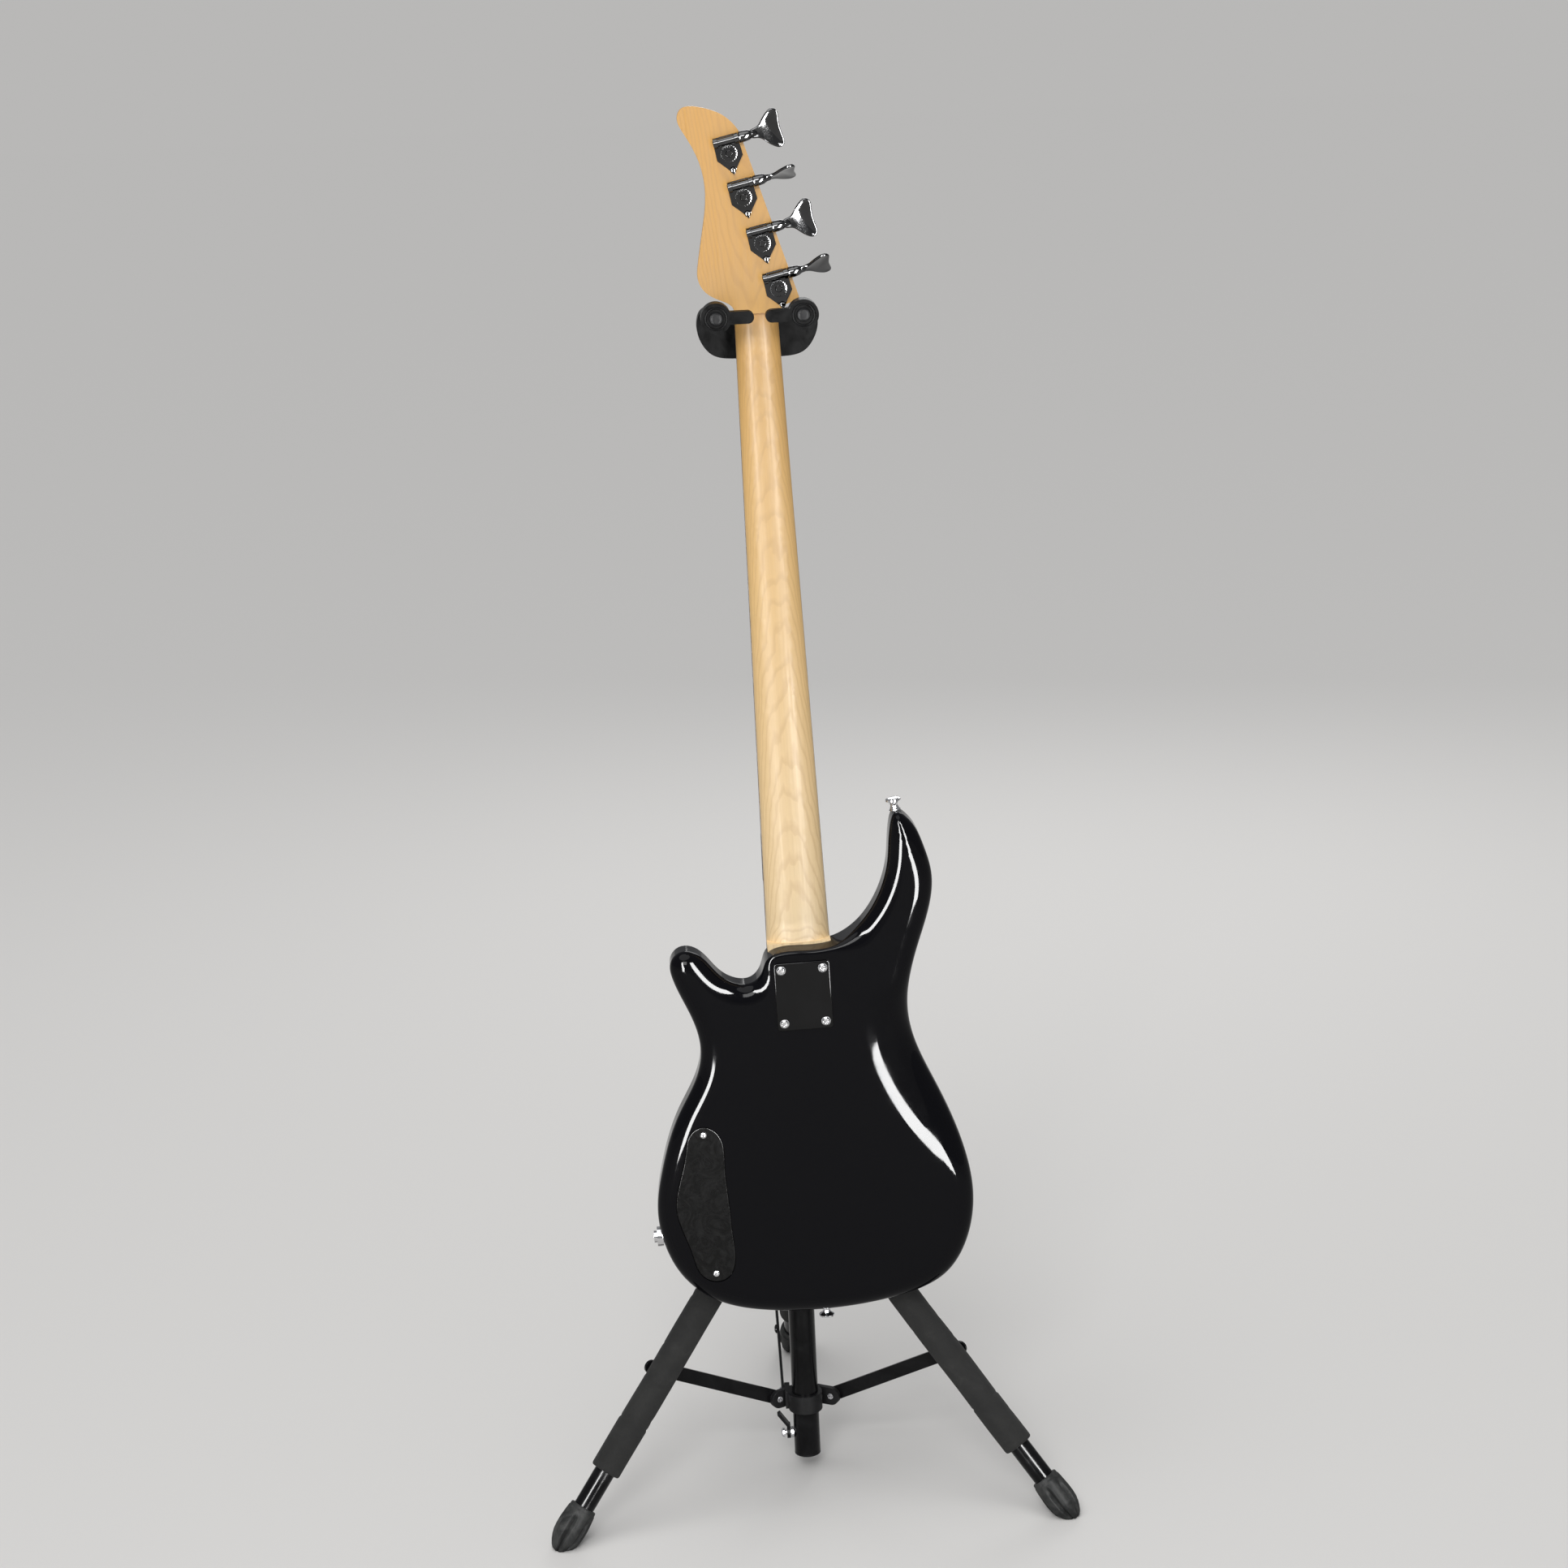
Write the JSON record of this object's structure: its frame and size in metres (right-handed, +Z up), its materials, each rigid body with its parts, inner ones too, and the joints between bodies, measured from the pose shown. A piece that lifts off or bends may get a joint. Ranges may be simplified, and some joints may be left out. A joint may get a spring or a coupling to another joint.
{
  "type": "bass guitar on tripod stand",
  "caption": "Electric bass hanging by its headstock, back outward, in a folding tripod floor stand with a telescoping mast and a self-closing yoke.",
  "frame": {"origin": "on the floor under the middle of the whole object", "axes": "+Z up; -Y is the side that the back of the bass faces; +X is to the right for someone facing the back of the bass"},
  "size_m": [0.5014, 0.4378, 1.3165],
  "materials": {
    "black_tube": "gloss black enamel",
    "black_casting": "satin black",
    "black_plastic": "matte moulded",
    "zinc_fasteners": "zinc plated",
    "foam": "matte closed-cell foam",
    "foot_rubber": "matte",
    "yoke_rubber": "satin rubber coat",
    "black_lacquer": "high gloss black polyester",
    "maple": "satin",
    "rosewood": "open-pored",
    "nickel_frets": "polished",
    "steel_strings": "round wound",
    "steel_inner": "plain",
    "chrome": "polished"
  },
  "bodies": {
    "root": {"base_tube": "black_tube", "tube_end_cap": "black_plastic", "lock_bolt": "zinc_fasteners", "brace_collar": "black_casting", "collar_rivets": "zinc_fasteners", "clutch_housing": "black_plastic", "clutch_bushing": "black_plastic"},
    "lock_lever": {"fold_lock_lever": "black_plastic"},
    "clutch_knob": {"clutch_knob": "black_plastic"},
    "hub": {"leg_hub": "black_casting", "hub_bolts": "zinc_fasteners"},
    "hub_knob": {"hub_knob": "black_plastic"},
    "mast": {"mast_tube": "black_tube", "yoke_mount": "black_casting"},
    "yoke": {"yoke_housing": "yoke_rubber", "finger_pins": "black_plastic"},
    "grip_left": {"grip_finger_left": "yoke_rubber"},
    "grip_right": {"grip_finger_right": "yoke_rubber"},
    "bass": {"bass_body": "black_lacquer", "neck": "maple", "fretboard": "rosewood", "frets": "nickel_frets", "truss_rod": "steel_inner", "nut": "black_plastic", "strings": "steel_strings", "bridge_plate": "chrome", "bridge_saddles": "chrome", "neck_plate": "chrome", "neck_screws": "chrome", "control_cover": "black_plastic", "cover_screws": "chrome", "strap_buttons": "chrome", "output_jack": "chrome", "pickups": "black_plastic", "potentiometers": "steel_inner", "string_retainer": "chrome", "tuner_bases": "chrome"},
    "leg_left": {"leg_left": "black_tube", "foam_left": "foam", "foot_left": "foot_rubber"},
    "brace_left": {"brace_left": "black_tube"},
    "leg_right": {"leg_right": "black_tube", "foam_right": "foam", "foot_right": "foot_rubber"},
    "brace_right": {"brace_right": "black_tube"},
    "leg_rear": {"leg_rear": "black_tube", "foam_rear": "foam", "foot_rear": "foot_rubber"},
    "brace_rear": {"brace_rear": "black_tube"},
    "key_1": {"tuner_key_1": "chrome"},
    "post_1": {"tuner_post_1": "chrome"},
    "key_2": {"tuner_key_2": "chrome"},
    "post_2": {"tuner_post_2": "chrome"},
    "key_3": {"tuner_key_3": "chrome"},
    "post_3": {"tuner_post_3": "chrome"},
    "key_4": {"tuner_key_4": "chrome"},
    "post_4": {"tuner_post_4": "chrome"},
    "knob_1": {"control_knob_1": "chrome"},
    "knob_2": {"control_knob_2": "chrome"},
    "knob_3": {"control_knob_3": "chrome"}
  },
  "joints": [
    {"name": "mast_height", "type": "slide", "parent": "root", "child": "mast", "axis": [0, 0, 1], "range_m": [0, 0.1]},
    {"name": "clutch_turn", "type": "hinge", "parent": "root", "child": "clutch_knob", "pos_m": [0, -0.02938, 0.622], "axis": [0, 1, 0], "range_deg": [0, 360]},
    {"name": "lock_lever_swing", "type": "hinge", "parent": "root", "child": "lock_lever", "pos_m": [-0.0177, -0.06938, 0.037], "axis": [-1, 0, 0], "range_deg": [0, 70]},
    {"name": "tripod_fold", "type": "slide", "parent": "root", "child": "hub", "axis": [0, 0, 1], "range_m": [0, 0.1284]},
    {"name": "hub_knob_turn", "type": "hinge", "parent": "hub", "child": "hub_knob", "pos_m": [0.02598, -0.05438, 0.3134], "axis": [0.866, 0.5, 0], "range_deg": [0, 360]},
    {"name": "leg_left_fold", "type": "hinge", "parent": "hub", "child": "leg_left", "pos_m": [-0.02598, -0.08438, 0.2939], "axis": [0.5, -0.866, 0], "range_deg": [0, 35.52]},
    {"name": "brace_left_fold", "type": "hinge", "parent": "root", "child": "brace_left", "pos_m": [-0.02782, -0.06119, 0.0707], "axis": [-0.5, 0.866, 0], "range_deg": [0, 52.4]},
    {"name": "leg_right_fold", "type": "hinge", "parent": "hub", "child": "leg_right", "pos_m": [0.02598, -0.08438, 0.2939], "axis": [0.5, 0.866, 0], "range_deg": [0, 35.52]},
    {"name": "brace_right_fold", "type": "hinge", "parent": "root", "child": "brace_right", "pos_m": [0.02782, -0.06119, 0.0707], "axis": [-0.5, -0.866, 0], "range_deg": [0, 52.4]},
    {"name": "leg_rear_fold", "type": "hinge", "parent": "hub", "child": "leg_rear", "pos_m": [0, -0.03938, 0.2939], "axis": [-1, 0, 0], "range_deg": [0, 35.52]},
    {"name": "brace_rear_fold", "type": "hinge", "parent": "root", "child": "brace_rear", "pos_m": [-0.021, -0.04938, 0.0707], "axis": [1, 0, 0], "range_deg": [0, 52.4]},
    {"name": "bass_lift", "type": "slide", "parent": "mast", "child": "bass", "axis": [0, 0, 1], "range_m": [0, 0.05]},
    {"name": "yoke_rise", "type": "slide", "parent": "mast", "child": "yoke", "axis": [0, 0, 1], "range_m": [0, 0.0121]},
    {"name": "grip_left_close", "type": "hinge", "parent": "yoke", "child": "grip_left", "pos_m": [-0.038, -0.16738, 1.1375], "axis": [0, -1, 0], "range_deg": [0, 75.1]},
    {"name": "grip_right_close", "type": "hinge", "parent": "yoke", "child": "grip_right", "pos_m": [0.038, -0.16738, 1.1375], "axis": [0, 1, 0], "range_deg": [0, 75.1]},
    {"name": "tuner_key_1_turn", "type": "hinge", "parent": "bass", "child": "key_1", "pos_m": [-0.02114, -0.13668, 1.28608], "axis": [0.9775, 0.0039, 0.2111], "continuous": true},
    {"name": "tuner_post_1_turn", "type": "hinge", "parent": "bass", "child": "post_1", "pos_m": [-0.01881, -0.11568, 1.27494], "axis": [0, 0.9998, -0.0183], "continuous": true},
    {"name": "tuner_key_2_turn", "type": "hinge", "parent": "bass", "child": "key_2", "pos_m": [-0.01035, -0.13738, 1.2482], "axis": [0.9775, 0.0039, 0.2111], "continuous": true},
    {"name": "tuner_post_2_turn", "type": "hinge", "parent": "bass", "child": "post_2", "pos_m": [-0.00803, -0.11638, 1.23706], "axis": [0, 0.9998, -0.0183], "continuous": true},
    {"name": "tuner_key_3_turn", "type": "hinge", "parent": "bass", "child": "key_3", "pos_m": [0.00418, -0.13811, 1.2083], "axis": [0.9775, 0.0039, 0.2111], "continuous": true},
    {"name": "tuner_post_3_turn", "type": "hinge", "parent": "bass", "child": "post_3", "pos_m": [0.00651, -0.11711, 1.19716], "axis": [0, 0.9998, -0.0183], "continuous": true},
    {"name": "tuner_key_4_turn", "type": "hinge", "parent": "bass", "child": "key_4", "pos_m": [0.01651, -0.13884, 1.16846], "axis": [0.9775, 0.0039, 0.2111], "continuous": true},
    {"name": "tuner_post_4_turn", "type": "hinge", "parent": "bass", "child": "post_4", "pos_m": [0.01884, -0.11784, 1.15732], "axis": [0, 0.9998, -0.0183], "continuous": true},
    {"name": "control_1_turn", "type": "hinge", "parent": "bass", "child": "knob_1", "pos_m": [-0.08618, -0.1244, 0.36275], "axis": [0, 0.9998, -0.0183], "range_deg": [-150, 150]},
    {"name": "control_2_turn", "type": "hinge", "parent": "bass", "child": "knob_2", "pos_m": [-0.09029, -0.12519, 0.31966], "axis": [0, 0.9998, -0.0183], "range_deg": [-150, 150]},
    {"name": "control_3_turn", "type": "hinge", "parent": "bass", "child": "knob_3", "pos_m": [-0.0854, -0.12598, 0.27676], "axis": [0, 0.9998, -0.0183], "range_deg": [-150, 150]}
  ],
  "couplings": [
    {"joint": "leg_left_fold", "follows": "tripod_fold", "rad_per_m": 4.8255},
    {"joint": "brace_left_fold", "follows": "tripod_fold", "rad_per_m": 7.1194},
    {"joint": "leg_right_fold", "follows": "tripod_fold", "rad_per_m": 4.8255},
    {"joint": "brace_right_fold", "follows": "tripod_fold", "rad_per_m": 7.1194},
    {"joint": "leg_rear_fold", "follows": "tripod_fold", "rad_per_m": 4.8255},
    {"joint": "brace_rear_fold", "follows": "tripod_fold", "rad_per_m": 7.1194},
    {"joint": "yoke_rise", "follows": "bass_lift", "ratio": 0.24},
    {"joint": "grip_left_close", "follows": "bass_lift", "rad_per_m": 26.18},
    {"joint": "grip_right_close", "follows": "bass_lift", "rad_per_m": 26.18},
    {"joint": "tuner_post_1_turn", "follows": "tuner_key_1_turn", "ratio": 0.05},
    {"joint": "tuner_post_2_turn", "follows": "tuner_key_2_turn", "ratio": 0.05},
    {"joint": "tuner_post_3_turn", "follows": "tuner_key_3_turn", "ratio": 0.05},
    {"joint": "tuner_post_4_turn", "follows": "tuner_key_4_turn", "ratio": 0.05}
  ]
}
